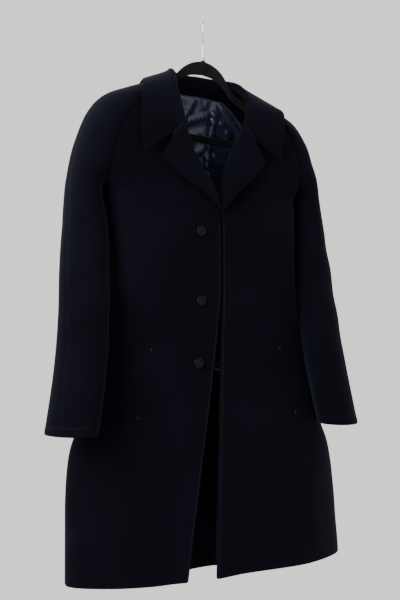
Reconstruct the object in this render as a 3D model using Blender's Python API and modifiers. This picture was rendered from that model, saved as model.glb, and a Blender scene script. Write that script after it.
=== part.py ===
"""A raglan overcoat on a flocked hanger with a swivel hook.

Metres, +Z up. The origin is the hook's seat, where a rail touches it. The coat's front faces -Y,
and +X is the wearer's left. Each cloth piece is a loft between two seam lines, thickened inwards.
"""

import math

import bmesh
import bpy
import numpy as np
from mathutils import Matrix

# Cloth layers, measured inwards from the outer face
WOOL = 0.0034
INNER_DEPTH = 0.0044
INNER = 0.0016
LINING_DEPTH = 0.0078
LINING = 0.0012
SEAM_GAP = 0.0022
SLEEVE_TRIM = 0.0058
LINING_TRIM = 0.0120
FACING_WIDE = 0.070

# Heights
BREAK_Z = -0.430
FOLD_TALL = 0.775
EDGE_X = 0.0015
SKIRT_Z = -0.472
UNDERARM_Z = -0.400
HEM_Z = -1.205
LINING_HEM_Z = -1.165
VENT_Z = -0.800
VENT_CLEAR = 0.098
CUFF_Z = -0.888

# Hanger and hook
PLATE = 0.006
ARM_REACH = 0.214
HANGER_TILT = math.radians(5.7)
ARM_DEPTH = 0.014
WIRE_R = 0.00175
HOOK_R = 0.019
HOOK_TURN = math.radians(-115)
BORE_R = 0.0022

# The neck fold of the collar and its free edge, from the centre back to the front end
COLLAR_FOLD = [(0, .060, -.115), (.040, .053, -.115), (.066, .022, -.119), (.080, -.026, -.134),
               (.087, -.062, -.168), (.078, -.084, -.214), (.069, -.092, -.247)]
COLLAR_EDGE = [(0, .096, -.195), (.070, .092, -.194), (.125, .070, -.175), (.138, 0, -.153),
               (.165, -.072, -.190), (.166, -.101, -.252), (.159, -.108, -.310)]
ROLL_LINE = [(.069, -.092, -.249), (.050, -.094, -.290), (.030, -.098, -.333), (.010, -.101, -.380),
             (.001, -.101, BREAK_Z + .004)]
LAPEL_EDGE = [(.097, -.101, -.275), (.121, -.107, -.320), (.086, -.109, -.355), (.038, -.109, -.392),
              (.003, -.104, BREAK_Z + .003)]

# Raglan seams and the shoulder's top line, from the neck to the underarm
SHOULDER = [(.078, 0, -.139), (.130, 0, -.160), (.180, 0, -.179), (.222, 0, -.200),
            (.250, -.002, -.237), (.269, -.004, -.290), (.286, -.008, -.350)]
FRONT_RAGLAN = [(.088, -.036, -.160), (.135, -.058, -.190), (.176, -.070, -.226), (.203, -.078, -.268),
                (.220, -.080, -.325), (.226, -.060, -.365), (.226, .010, UNDERARM_Z)]
BACK_RAGLAN = [(.072, .040, -.150), (.118, .054, -.182), (.158, .064, -.219), (.190, .070, -.268),
               (.212, .074, -.325), (.222, .060, -.368), (.226, .010, UNDERARM_Z)]
SHOULDER_ARC = [90, 90, 90, 96, 112, 138, 180]

# The hanging sleeve: height, centre x and y, long and short half-widths, turn of the long one
SLEEVE = [(-.460, .264, -.012, .067, .039, 80), (-.550, .270, -.027, .063, .044, 73),
          (-.650, .277, -.051, .062, .045, 67), (-.760, .290, -.069, .061, .0455, 63),
          (CUFF_Z, .313, -.083, .0605, .0455, 60)]

# The body below the underarm: height, half-width, squareness
BODY = [(UNDERARM_Z, .226, 3.6), (-.55, .219, 3.6), (-.66, .235, 2.6), (-.76, .259, 2.1),
        (-.88, .290, 2.2), (-.94, .311, 2.3), (-1.02, .322, 2.3), (-1.12, .327, 2.2),
        (-1.225, .332, 2.1)]

# How the coat hangs askew, by height: slid sideways at its middle, its sides and its sleeves, and
# down on the wearer's left
MID_SLIDE = [(-1.20, -.018), (-.62, 0), (-.46, 0), (-.40, -.006), (-.34, -.018), (-.30, -.022),
             (-.22, -.012), (-.14, -.003)]
SIDE_SLIDE = [(-1.20, .017), (-1.05, .011), (-.93, .006), (-.75, -.002), (-.55, -.010),
              (-.466, -.0135), (-.38, -.020), (-.30, -.021), (-.24, -.016), (-.18, -.006)]
SLEEVE_SLIDE = [(-.90, -.018), (-.75, -.0180), (-.55, -.0145), *SIDE_SLIDE[5:]]
DROOP = [(-1.20, -.30), (-.90, .10), (-.34, .15), (-.22, 1)]
BACK_TAIL = 0.026

scene = bpy.context.scene
for old in list(bpy.data.objects):
    bpy.data.objects.remove(old)
coat = bpy.data.collections.new("overcoat_on_hanger")
cutters = bpy.data.collections.new("cutters")
scene.collection.children.link(coat)
scene.collection.children.link(cutters)


def material(name, colour, roughness, metallic=0.0):
    mat = bpy.data.materials.new(name)
    mat.use_nodes = True
    shader = mat.node_tree.nodes["Principled BSDF"]
    shader.inputs["Base Color"].default_value = (*colour, 1)
    shader.inputs["Roughness"].default_value = roughness
    shader.inputs["Metallic"].default_value = metallic
    return mat


WOOL_LOOK = ("navy_wool", (.006, .008, .017), .95)
SATIN_LOOK = ("navy_satin", (.010, .014, .035), .35)
BACKING_LOOK = ("canvas", (.10, .10, .11), .9)
FLOCK_LOOK = ("black_flock", (.008, .008, .008), .95)
CHROME_LOOK = ("chrome", (.75, .75, .76), .12, 1.0)
HORN_LOOK = ("dark_horn", (.015, .013, .014), .25)


def finish(obj, look):
    """Puts an object in the coat's collection with a material of its own."""
    for mat in list(obj.data.materials):
        obj.data.materials.pop()
    obj.data.materials.append(material(f"{look[0]}_{obj.name}", *look[1:]))
    if obj.name not in coat.objects:
        coat.objects.link(obj)
    return obj


# ---------------------------------------------------------------- lines

def through(points):
    """A dense smooth line, or table, through the rows of points."""
    p = np.array(points, float)
    p = np.vstack([2 * p[0] - p[1], p, 2 * p[-1] - p[-2]])
    dense = []
    for a, b, c, d in zip(p[:-3], p[1:-2], p[2:-1], p[3:]):
        for t in np.linspace(0, 1, 16, endpoint=False):
            dense.append(.5 * (2 * b + (c - a) * t + (2 * a - 5 * b + 4 * c - d) * t ** 2
                               + (3 * b - a - 3 * c + d) * t ** 3))
    return np.array([*dense, p[-2]])


def resampled(table, run, at):
    return np.stack([np.interp(at, run, table[:, k]) for k in range(table.shape[1])], axis=1)


def run_of(line):
    """How far along the line each of its points is, measured on its first three columns."""
    steps = np.linalg.norm(np.diff(line[:, :3], axis=0), axis=1)
    return np.concatenate([[0], np.cumsum(steps)])


def even(line, count, trim=0.0):
    """Evenly spaced points along a line, starting and ending trim short of its ends."""
    line = np.array(line, float)
    run = run_of(line)
    return resampled(line, run, np.linspace(trim, run[-1] - trim, count))


def spline(points, count):
    """Evenly spaced points on a smooth line through the given points."""
    return even(through(points), count)


def smooth(t):
    t = np.clip(t, 0, 1)
    return t * t * (3 - 2 * t)


def from_table(z, table):
    return np.interp(z, [row[0] for row in table], [row[1] for row in table])


def hung(points, slide=SIDE_SLIDE):
    """Points of the coat as laid out evenly, moved to where they hang."""
    p = np.array(points, float)
    x, y, z = p[..., 0], p[..., 1], p[..., 2]
    reach = np.abs(x)
    middle, side = from_table(z, MID_SLIDE), from_table(z, slide)
    aside = middle + (side - middle) * smooth((reach - .03) / .15)
    droop = np.sign(x) * smooth(reach / .07) * (.006 + .055 * np.maximum(0, reach - .02))
    droop = droop * (1 - smooth((-.055 - y) / .045) * smooth((z + .45) / .12))
    tail = BACK_TAIL * smooth(y / .06) * smooth((-1.0 - z) / .2) * (1 - smooth((reach - .10) / .20))
    return np.stack([x + aside, y, z - droop * from_table(z, DROOP) - tail], axis=-1)


def laid_out(x, z):
    """The even layout's x for a point that hangs at x."""
    guess = x
    for _ in range(6):
        guess = x - (float(hung((guess, 0, z))[0]) - guess)
    return guess


def hinge_x(side, z):
    """Where the skirt's fold line lies: it hangs straight from the break to the hem."""
    return side * laid_out(side * (.002 + .238 * (BREAK_Z - z) / FOLD_TALL), z)


def edge_x(side, z):
    """The front edge; the wearer's right one falls back towards the hem."""
    if side > 0:
        return EDGE_X
    return EDGE_X + .0640 * max(0, (-.60 - z) / .605) ** 1.2


def at_height(line, z):
    """The point of a falling line at height z."""
    line = np.array(line)[::-1]
    return np.array([np.interp(z, line[:, 2], line[:, k]) for k in range(2)] + [z])


def body_size(z):
    """The body's half-width and squareness at height z."""
    table = spline(BODY, 60)[::-1]
    return [float(np.interp(z, table[:, 0], table[:, k])) for k in (1, 2)]


def front_depth(z):
    return float(np.interp(z, [-1.2, -.7, BREAK_Z, -.33, -.25, -.19, -.15],
                           [-.100, -.096, -.095, -.091, -.082, -.064, -.045]))


def back_depth(z):
    return float(np.interp(z, [-1.2, -.8, -.4, -.26, -.19, -.14], [.092, .084, .080, .074, .064, .048]))


# ---------------------------------------------------------------- cloth

def row_between(inner, outer, square, arc, count):
    """A rounded row of cloth from the middle of the coat to a seam."""
    angles = np.linspace(0, math.radians(arc), 48)
    across = np.sin(angles) ** (2 / square)
    fall = np.clip(np.cos(angles), 0, 1) ** (2 / square)
    x = inner[0] + (outer[0] - inner[0]) * across / across[-1]
    y = inner[1] + (outer[1] - inner[1]) * (1 - fall) / (1 - fall[-1])
    return even(np.stack([x, y, np.full(48, inner[2])], axis=1), count)


def torso_row(z, front, inner_x, count, outer_trim=SEAM_GAP):
    """The row of the front or the back at height z, from inner_x to the raglan or side seam."""
    depth = front_depth(z) if front else back_depth(z)
    if z > UNDERARM_Z:
        line = spline(FRONT_RAGLAN if front else BACK_RAGLAN, 80)
        outer = at_height(line, z)
        drop = min(1, max(0, (-.30 - z) / .10))
        square, arc = 2 + 1.6 * drop, 60 + 30 * drop
    else:
        half, square = body_size(z)
        outer, arc = np.array([half, .010, z]), 90
    full = row_between(np.array([0, depth, z]), outer, square, arc, 60)
    run = run_of(full)
    start = float(np.interp(inner_x, full[:, 0], run))
    return resampled(full, run, np.linspace(start, run[-1] - outer_trim, count))


def part_row(z, start, stop, count):
    """Part of the front's row at height z, between two distances from the middle."""
    row = torso_row(z, True, start, 60)
    return even(row[row[:, 0] <= stop], count)


def sleeve_rows(front, count, rows, trim):
    """Rows from the top of the shoulder to the raglan seam, then round the hanging sleeve."""
    outer, seam, arcs, deep = [], [], [], []
    for top, low, arc in zip(SHOULDER, FRONT_RAGLAN if front else BACK_RAGLAN, SHOULDER_ARC):
        outer.append(top)
        seam.append(low)
        arcs.append(arc)
        reach = max(abs(low[1] - top[1]), .076 if arc > 90 else 0)
        deep.append((0, -reach if front else reach, 0))
    for z, x, y, long, short, turn in SLEEVE:
        a = math.radians(turn)
        side = np.array([math.sin(a), -math.cos(a), 0]) * short
        outer.append(np.array([x, y, z]) + side)
        seam.append(np.array([x, y, z]) - side)
        arcs.append(180)
        deep.append(np.array([math.cos(a), math.sin(a), 0]) * (-long if front else long))
    table = np.hstack([np.array(outer), np.array(seam), np.array(arcs)[:, None], np.array(deep)])
    lofted = []
    for values in spline(table, rows):
        top, low, arc, reach = values[:3], values[3:6], math.radians(values[6]), values[7:]
        middle = (low - top * math.cos(arc) - reach * math.sin(arc)) / (1 - math.cos(arc))
        line = [middle + (top - middle) * math.cos(t) + reach * math.sin(t)
                for t in np.linspace(0, arc, 60)]
        lofted.append(even(line, count, trim))
    return np.array(lofted)


def panel(name, rows, look, side=1, out=(0, -1, 0), depth=0.0, thick=WOOL, slide=SIDE_SLIDE):
    """A hung sheet through rows of points, sunk by depth and thickened away from the out direction."""
    rows = hung(np.array(rows, float) * [side, 1, 1], slide)
    down, across = rows.shape[:2]
    mesh = bpy.data.meshes.new(name)
    bm = bmesh.new()
    bmesh.ops.create_grid(bm, x_segments=across - 1, y_segments=down - 1, size=.5)
    bm.verts.ensure_lookup_table()
    for vert in bm.verts:
        col = round((vert.co.x + .5) * (across - 1))
        row = round((.5 - vert.co.y) * (down - 1))
        vert.co = rows[row, col]
    bm.normal_update()
    if sum(face.normal.dot(out) * face.calc_area() for face in bm.faces) < 0:
        bmesh.ops.reverse_faces(bm, faces=bm.faces)
    bm.normal_update()
    for vert, normal in [(v, v.normal.copy()) for v in bm.verts]:
        vert.co -= normal * depth
    bm.to_mesh(mesh)
    bm.free()
    obj = bpy.data.objects.new(name, mesh)
    thicken = obj.modifiers.new("thickness", "SOLIDIFY")
    thicken.thickness = thick
    thicken.offset = -1
    mesh.shade_smooth()
    return finish(obj, look)


# ---------------------------------------------------------------- the coat's pieces

def roll_x(z):
    return max(.004, float(at_height(spline(COLLAR_FOLD[4:] + ROLL_LINE[1:], 40), z)[0]))


def fronts(side, tag):
    upper, lower = np.linspace(-.166, BREAK_Z, 9), np.linspace(-.50, HEM_Z, 9)
    rows = [torso_row(z, True, roll_x(z), 9) for z in upper]
    rows += [torso_row(z, True, hinge_x(side, z) + SEAM_GAP, 9) for z in lower]
    panel(f"front_{tag}", rows, WOOL_LOOK, side)
    rows = [torso_row(z, True, roll_x(z) + .012, 9, LINING_TRIM) for z in upper[2:]]
    rows += [torso_row(z, True, hinge_x(side, z) + .012, 9, LINING_TRIM) for z in lower[:-1]]
    panel(f"front_lining_{tag}", rows, SATIN_LOOK, side, depth=LINING_DEPTH, thick=LINING)


def skirt(side, tag):
    """The part of a front that swings open: its cloth, the facing at its edge and its lining."""
    levels = np.linspace(SKIRT_Z, HEM_Z, 10)
    rows = [part_row(z, edge_x(side, z), hinge_x(side, z) - SEAM_GAP, 7) for z in levels]
    panel(f"skirt_{tag}", rows, WOOL_LOOK, side)
    facing, lining = [], []
    for z in np.linspace(-.75, LINING_HEM_Z, 6):
        edge, fold = edge_x(side, z), hinge_x(side, z) - .006
        facing.append(part_row(z, edge + .002, edge + FACING_WIDE, 4))
        if fold > edge + FACING_WIDE + .020:
            lining.append(part_row(z, edge + FACING_WIDE + .005, fold, 4))
    panel(f"facing_{tag}", facing, WOOL_LOOK, side, depth=LINING_DEPTH, thick=LINING)
    panel(f"skirt_lining_{tag}", lining, SATIN_LOOK, side, depth=LINING_DEPTH, thick=LINING)


def backs(side, tag):
    upper, lower = np.linspace(-.156, UNDERARM_Z, 7), np.linspace(-.46, HEM_Z, 9)
    rows = [torso_row(z, False, .0008, 9) for z in (*upper, *lower)]
    panel(f"back_{tag}", rows, WOOL_LOOK, side, out=(0, 1, 0))
    rows = [torso_row(z, False, .006, 11, LINING_TRIM) for z in (-.173, *upper[1:], *lower[:4])]
    low = (-.790, *lower[4:-1], LINING_HEM_Z)
    rows += [torso_row(z, False, VENT_CLEAR, 11, LINING_TRIM - .002) for z in low]
    panel(f"back_lining_{tag}", rows, SATIN_LOOK, side, (0, 1, 0), LINING_DEPTH, LINING)


def sleeves(side, tag):
    for name, front in (("front", True), ("back", False)):
        out = (side * .5, -1 if front else 1, .3)
        rows = sleeve_rows(front, 9, 16, SLEEVE_TRIM)
        panel(f"sleeve_{name}_{tag}", rows, WOOL_LOOK, side, out, slide=SLEEVE_SLIDE)
        rows = sleeve_rows(front, 9, 16, LINING_TRIM)[5:-1]
        panel(f"sleeve_lining_{name}_{tag}", rows, SATIN_LOOK, side, out, LINING_DEPTH, LINING, SLEEVE_SLIDE)
    pad = sleeve_rows(False, 9, 16, SLEEVE_TRIM)[2:5, :5]
    panel(f"shoulder_pad_{tag}", pad, BACKING_LOOK, side, (0, .5, 1), INNER_DEPTH, INNER)


def lapel(side, tag):
    roll = spline(ROLL_LINE, 8)
    edge = np.vstack([spline(LAPEL_EDGE[:2], 3)[:-1], spline(LAPEL_EDGE[1:], 6)])
    rows = [[a + (b - a) * t for t in np.linspace(0, 1, 5)] for a, b in zip(roll, edge)]
    panel(f"lapel_{tag}", rows, WOOL_LOOK, side, thick=.003)


def both_sides(half):
    """Rows laid out from the centre back, with their mirror images before them."""
    return [[p * np.array([-1, 1, 1]) for p in row] for row in half[:0:-1]] + half


def collar():
    """The turned-down collar in two layers, and the stand inside it."""
    fold, edge = spline(COLLAR_FOLD, 13), spline(COLLAR_EDGE, 13)
    half = []
    for i, (a, b) in enumerate(zip(fold, edge)):
        bulge = .012 - .006 * smooth((i - 3) / 3) - .012 * smooth((i - 9.5) / 2.5)
        half.append([a + (b - a) * t + np.array([0, 0, bulge * math.sin(math.pi * min(1, t * 1.2))])
                     for t in np.linspace(0, 1, 5)])
    ring = both_sides(half)
    panel("top_collar", ring, WOOL_LOOK, out=(0, -.4, 1), thick=.0024)
    panel("under_collar", ring, WOOL_LOOK, out=(0, -.4, 1), depth=.0028, thick=.0018)
    half = []
    for p in spline(COLLAR_FOLD[:4], 7)[:-1]:
        inward = np.array([-.002, -.006, 0]) if p[0] > .03 else np.array([0, -.008, 0])
        top = p + inward + np.array([0, 0, -.007])
        tall = .021 - .017 * min(1, p[0] / .055)
        half.append([top + np.array([0, 0, -tall * t]) for t in np.linspace(0, 1, 3)])
    panel("collar_stand", both_sides(half), WOOL_LOOK, out=(0, 1, 0), thick=.0024)


def inside_back():
    """The narrow wool facing below the back neck."""
    rows = []
    for z in np.linspace(-.1575, -.1685, 2):
        half = torso_row(z, False, 0, 60, .016)
        half = list(even(half[half[:, 0] < .095], 6))
        rows.append([p * np.array([-1, 1, 1]) for p in half[:0:-1]] + half)
    panel("neck_facing", rows, WOOL_LOOK, out=(0, 1, 0), depth=LINING_DEPTH, thick=LINING)


def vent():
    rows = [[(x, back_depth(z) - INNER_DEPTH, z) for x in (-.002, -.02, -.038)]
            for z in np.linspace(VENT_Z - .004, HEM_Z, 5)]
    panel("vent_underlap", rows, WOOL_LOOK, out=(0, 1, 0), thick=.0030)


def pockets(side, tag):
    """A slanting welt on the cloth and a flat bag behind it."""
    welt, bag = [], []
    for t in np.linspace(0, 1, 4):
        start = .126 + .038 * t
        welt.append(part_row(-.712 - .153 * t, start, start + .032, 5))
        bag.append(part_row(-.735 - .20 * t, .162 + .02 * t, .200 + .03 * t, 4))
    panel(f"pocket_welt_{tag}", welt, WOOL_LOOK, side, depth=-.0038, thick=.0030)
    panel(f"pocket_bag_{tag}", bag, BACKING_LOOK, side, depth=INNER_DEPTH + .0004, thick=INNER)


def fly():
    """The inner layer that hides the buttonholes, on the wearer's left."""
    levels = np.linspace(SKIRT_Z - .035, -.80, 5)
    rows = [part_row(z, .006, min(.060, hinge_x(1, z) - .004), 3) for z in levels]
    panel("fly_placket", rows, WOOL_LOOK, 1, depth=INNER_DEPTH, thick=INNER)


# ---------------------------------------------------------------- hanger, hook and buttons

def curve_tube(name, points, radius, resolution=2):
    curve = bpy.data.curves.new(name, "CURVE")
    curve.dimensions = "3D"
    line = curve.splines.new("POLY")
    line.points.add(len(points) - 1)
    for point, place in zip(line.points, points):
        point.co = (*place, 1)
    curve.bevel_depth = radius
    curve.bevel_resolution = resolution
    curve.use_fill_caps = True
    return meshed(bpy.data.objects.new(name, curve))


def meshed(obj):
    """A curve object as a closed mesh object of the same name."""
    name = obj.name
    scene.collection.objects.link(obj)
    bpy.context.view_layer.update()
    evaluated = obj.evaluated_get(bpy.context.evaluated_depsgraph_get())
    mesh = bpy.data.meshes.new_from_object(evaluated)
    place = obj.matrix_world.copy()
    bpy.data.objects.remove(obj)
    bm = bmesh.new()
    bm.from_mesh(mesh)
    bmesh.ops.remove_doubles(bm, verts=bm.verts, dist=.00001)
    bmesh.ops.recalc_face_normals(bm, faces=bm.faces)
    bm.to_mesh(mesh)
    bm.free()
    made = bpy.data.objects.new(name, mesh)
    made.matrix_world = place
    return made


def cylinder(name, radius, low, high, collection, sides=24, top_radius=None):
    mesh = bpy.data.meshes.new(name)
    bm = bmesh.new()
    bmesh.ops.create_cone(bm, cap_ends=True, segments=sides, radius1=radius,
                          radius2=radius if top_radius is None else top_radius, depth=high - low)
    bmesh.ops.translate(bm, verts=bm.verts, vec=(0, 0, (low + high) / 2))
    bm.to_mesh(mesh)
    bm.free()
    mesh.shade_smooth()
    obj = bpy.data.objects.new(name, mesh)
    collection.objects.link(obj)
    return obj


def cutter(obj):
    obj.hide_render = True
    obj.display_type = "WIRE"
    return obj


def boolean(obj, other, operation):
    step = obj.modifiers.new(operation.lower(), "BOOLEAN")
    step.operation = operation
    step.object = other


def arm_top(x):
    """The hanger's top outline: a low crown, then sloping arms."""
    return float(np.interp(x, [0, .012, .03, .048, .066, .08, .10, .15, .20, ARM_REACH],
                           [-.0925, -.0937, -.1005, -.114, -.137, -.151, -.160, -.180, -.2045, -.2130]))


def hanger():
    xs = [0, .012, .03, .048, .066, .08, .10, .15, .175, .20, ARM_REACH]
    top = [(x, arm_top(x)) for x in xs]
    right = [*top, (ARM_REACH + .003, -.224), (ARM_REACH, -.248), (.200, -.263), (.17, -.2695)]
    outline = right + [(-x, z) for x, z in right[::-1] if x > 0]
    inner_right = [(0, -.1185), (.03, -.1235), (.055, -.1380), (.08, -.1630), (.15, -.1960), (.192, -.2170),
                   (.203, -.228), (.202, -.242), (.192, -.2515), (.16, -.2575)]
    hole = inner_right + [(-x, z) for x, z in inner_right[::-1] if x > 0]
    curve = bpy.data.curves.new("hanger_body", "CURVE")
    curve.dimensions = "2D"
    curve.fill_mode = "BOTH"
    curve.extrude = PLATE / 2
    for points in (outline, hole):
        line = curve.splines.new("POLY")
        line.points.add(len(points) - 1)
        for point, (x, z) in zip(line.points, points):
            point.co = (x, z, 0, 1)
        line.use_cyclic_u = True
    plate = bpy.data.objects.new("hanger_body", curve)
    about = Matrix.Translation((0, 0, -.10))
    plate.matrix_world = (about @ Matrix.Rotation(HANGER_TILT, 4, "Y") @ about.inverted()
                          @ Matrix.Rotation(math.radians(90), 4, "X"))
    body = meshed(plate)
    boss = cutter(cylinder("boss_guide", .0055, -.1165, -.0905, cutters))
    bore = cutter(cylinder("bore_cutter", BORE_R, -.13, -.08, cutters))
    seat = cutter(cylinder("stop_cutter", .0039, -.125, -.1100, cutters))
    boolean(body, boss, "UNION")
    boolean(body, bore, "DIFFERENCE")
    boolean(body, seat, "DIFFERENCE")
    finish(body, FLOCK_LOOK)
    neck = cylinder("swivel_collar", .0048, -.0902, -.0830, coat, top_radius=.0030)
    hole = cutter(cylinder("neck_cutter", BORE_R, -.10, -.075, cutters))
    boolean(neck, hole, "DIFFERENCE")
    finish(neck, CHROME_LOOK)


def hook():
    """The hook's wire lies in an upright plane through the shank's axis."""
    around = HOOK_R + WIRE_R
    flat = [(around, -.034), (around, -.0265)]
    flat += [(around * math.cos(a), -HOOK_R + around * math.sin(a))
             for a in np.linspace(0, math.pi, 17)]
    flat += [(u, z) for u, z in spline([(-around, -HOOK_R), (-.0185, -.0290), (-.0105, -.0385),
                                        (-.0030, -.0465), (0, -.0560)], 10)[1:]]
    flat += [(0, -.0700), (0, -.1092)]
    wire = [(u * math.cos(HOOK_TURN), u * math.sin(HOOK_TURN), z) for u, z in flat]
    finish(curve_tube("hook", wire, WIRE_R), CHROME_LOOK)
    finish(cylinder("hook_stop", .0034, -.1150, -.1105, coat, 16), CHROME_LOOK)


def button(name, x, z):
    """A four-hole button on the wearer's right front, just proud of the cloth."""
    x, y, z = hung(torso_row(z, True, abs(x), 2)[0] * [-1, 1, 1])
    y -= .0042
    disc = cylinder(name, .0110, -.0016, .0016, coat, 24)
    for k in range(4):
        a = math.radians(45 + 90 * k)
        hole = cutter(cylinder(f"{name}_hole_{k}", .0009, -.004, .004, cutters, 8))
        hole.location = (x + .0022 * math.cos(a), y, z + .0022 * math.sin(a))
        hole.rotation_euler = (math.radians(90), 0, 0)
        boolean(disc, hole, "DIFFERENCE")
    disc.location = (x, y, z)
    disc.rotation_euler = (math.radians(90), 0, 0)
    finish(disc, HORN_LOOK)


for SIDE, TAG in ((1, "left"), (-1, "right")):
    fronts(SIDE, TAG)
    skirt(SIDE, TAG)
    backs(SIDE, TAG)
    sleeves(SIDE, TAG)
    lapel(SIDE, TAG)
    pockets(SIDE, TAG)
collar()
inside_back()
vent()
fly()
hanger()
hook()
for INDEX, (X, Z) in enumerate([(-.050, -.471), (-.050, -.617), (-.052, -.748)]):
    button(f"button_{INDEX + 1}", X, Z)
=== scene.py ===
"""The overcoat's cloth, lining, buttons, hanger and hook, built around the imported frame."""

import math

import bmesh
import bpy
import numpy as np
from mathutils import Matrix, Vector, noise


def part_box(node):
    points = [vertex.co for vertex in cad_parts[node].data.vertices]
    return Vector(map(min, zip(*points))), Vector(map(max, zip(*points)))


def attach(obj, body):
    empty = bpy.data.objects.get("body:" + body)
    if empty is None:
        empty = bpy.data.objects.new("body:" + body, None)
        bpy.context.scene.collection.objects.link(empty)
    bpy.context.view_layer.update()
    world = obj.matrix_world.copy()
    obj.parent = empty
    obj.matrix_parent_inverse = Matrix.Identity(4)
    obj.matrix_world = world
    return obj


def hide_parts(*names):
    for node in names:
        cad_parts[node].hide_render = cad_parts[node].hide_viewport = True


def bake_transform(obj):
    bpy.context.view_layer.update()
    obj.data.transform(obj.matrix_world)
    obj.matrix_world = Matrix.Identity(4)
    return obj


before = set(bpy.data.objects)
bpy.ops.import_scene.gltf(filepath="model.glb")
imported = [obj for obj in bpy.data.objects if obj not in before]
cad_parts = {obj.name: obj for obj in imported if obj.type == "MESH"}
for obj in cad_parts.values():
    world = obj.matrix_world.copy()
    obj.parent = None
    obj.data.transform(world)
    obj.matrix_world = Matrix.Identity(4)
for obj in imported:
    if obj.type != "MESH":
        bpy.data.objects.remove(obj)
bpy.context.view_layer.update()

# ---------------------------------------------------------------- sizes, in metres

# Cloth thicknesses, and how deep the linings and facings lie beneath the outer face of the wool. The
# facing runs FACING_WIDE in from the front edge, and the satin starts LINING_FROM in from it
WOOL = 0.0032
LINING = 0.0009
LINING_DEPTH = 0.0072
BACK_LINING_DEPTH = LINING_DEPTH - .001
FACING_DEPTH = LINING_DEPTH - .0020
SLEEVE_LINING_DEPTH = 0.0070
FACING_WIDE = 0.078
LINING_FROM = 0.076

# Heights and edges of the coat
BREAK_Z = -0.430
UNDERARM_Z = -0.400
HEM_Z = -1.205
LINING_HEM_Z = -1.165
CUFF_Z = -0.888
VENT_Z = -0.804
EDGE_X = 0.0008
FRONT_TOP_Z, BACK_TOP_Z = -.1605, -.1525
FACING_TOP_Z, SATIN_TOP_Z = -.182, -.1565
FLY_TOP_Z, FLY_END_Z = -.507, -.80

# The rows of a front above the break, and how far each front's edge stands proud or back where they lap
BREAK_ROWS = 34
EDGE_OVER, EDGE_UNDER = .0016, -.0012

# The pocket's slanting mouth: where its welt starts, and how far it runs out and down
POCKET_X, POCKET_Z = .126, -.712
POCKET_OUT, POCKET_TALL = .038, .153
WELT_WIDE = .032

# The fold line of a skirt: it starts at the break and runs out by FOLD_OUT over FOLD_TALL
FOLD_X = 0.002
FOLD_OUT = 0.238
FOLD_TALL = 0.775

# A sleeve's seam allowance lies this deep beneath the body's cloth, and a seam laps this far
SEAM_SINK = .0022
SEAM_LAP = .004
STITCH_PITCH = .0052
STITCH_LONG = .0034

# The back satin: it steps aside beside the vent, and its wrinkles change direction at FAN_X
SATIN_STEP = .0965
SATIN_STEP_Z = -.752
FAN_X = .055
PLEAT_X = .062

# Half the width of the wool yoke inside the back neck
YOKE_HALF = .098

# The hanger and its hook, and how far a button's holes are from its middle
ARM_REACH = 0.214
HANGER_TILT = math.radians(5.7)
TILT_CENTRE_Z = -.10
PLATE = 0.006
PLATE_ROUND = .0016
WIRE_R = 0.00175
HOOK_R = 0.019
HOOK_TURN = math.radians(-115)
HOLE_REACH = .0023

CAMERA_AZIMUTH = math.radians(-25)
CAMERA_DISTANCE = 2.40
CAMERA_ASIDE = .0066
CAMERA_Z = -0.6155
CAMERA_LENS = 65.5
COAT_MIDDLE = (0, 0, -.6)
FLOOR_Z = -1.80

FRONTWARDS, BACKWARDS, UP = (0, -1, 0), (0, 1, 0), (0, 0, 1)

# The coat's seams on the wearer's left, before it hangs askew: the collar's fold and edge, the roll
# line, the lapel's edge, the top of the shoulder, and the raglan seams of the front and back
COLLAR_FOLD = [(0, .060, -.115), (.040, .053, -.115), (.066, .022, -.119), (.080, -.026, -.134),
               (.087, -.062, -.168), (.078, -.084, -.214), (.069, -.092, -.247)]
COLLAR_EDGE = [(0, .096, -.195), (.070, .092, -.194), (.125, .070, -.175), (.138, 0, -.153),
               (.165, -.072, -.190), (.166, -.101, -.252), (.159, -.108, -.310)]
ROLL_LINE = [(.069, -.092, -.249), (.050, -.094, -.290), (.030, -.098, -.333), (.010, -.101, -.380),
             (.001, -.101, BREAK_Z + .004)]
LAPEL_EDGE = [(.097, -.101, -.275), (.121, -.107, -.320), (.086, -.109, -.355), (.038, -.109, -.392),
              (.003, -.104, BREAK_Z + .003)]
SHOULDER = [(.078, 0, -.139), (.130, 0, -.160), (.180, 0, -.179), (.222, 0, -.200),
            (.250, -.002, -.237), (.269, -.004, -.290), (.286, -.008, -.350)]
FRONT_RAGLAN = [(.088, -.036, -.160), (.135, -.058, -.190), (.176, -.070, -.226), (.203, -.078, -.268),
                (.220, -.080, -.325), (.226, -.060, -.365), (.226, .010, UNDERARM_Z)]
BACK_RAGLAN = [(.072, .040, -.150), (.118, .054, -.182), (.158, .064, -.219), (.190, .070, -.268),
               (.212, .074, -.325), (.222, .060, -.368), (.226, .010, UNDERARM_Z)]
# How far round the sleeve goes from the shoulder's top to each raglan seam, in degrees
SHOULDER_ARC = [90, 90, 90, 96, 112, 138, 180]
# The hanging sleeve: height, centre x and y, long and short half-widths, turn of the long one
SLEEVE = [(-.460, .264, -.012, .067, .039, 80), (-.550, .270, -.027, .063, .044, 73),
          (-.650, .277, -.051, .062, .045, 67), (-.760, .290, -.069, .061, .0455, 63),
          (CUFF_Z, .313, -.083, .0605, .0455, 60)]
# The body below the underarm: height, half-width, squareness
BODY = [(UNDERARM_Z, .226, 3.6), (-.55, .219, 3.6), (-.66, .235, 2.6), (-.76, .259, 2.1),
        (-.88, .290, 2.2), (-.94, .311, 2.3), (-1.02, .322, 2.3), (-1.12, .327, 2.2),
        (-1.225, .332, 2.1)]

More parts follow.
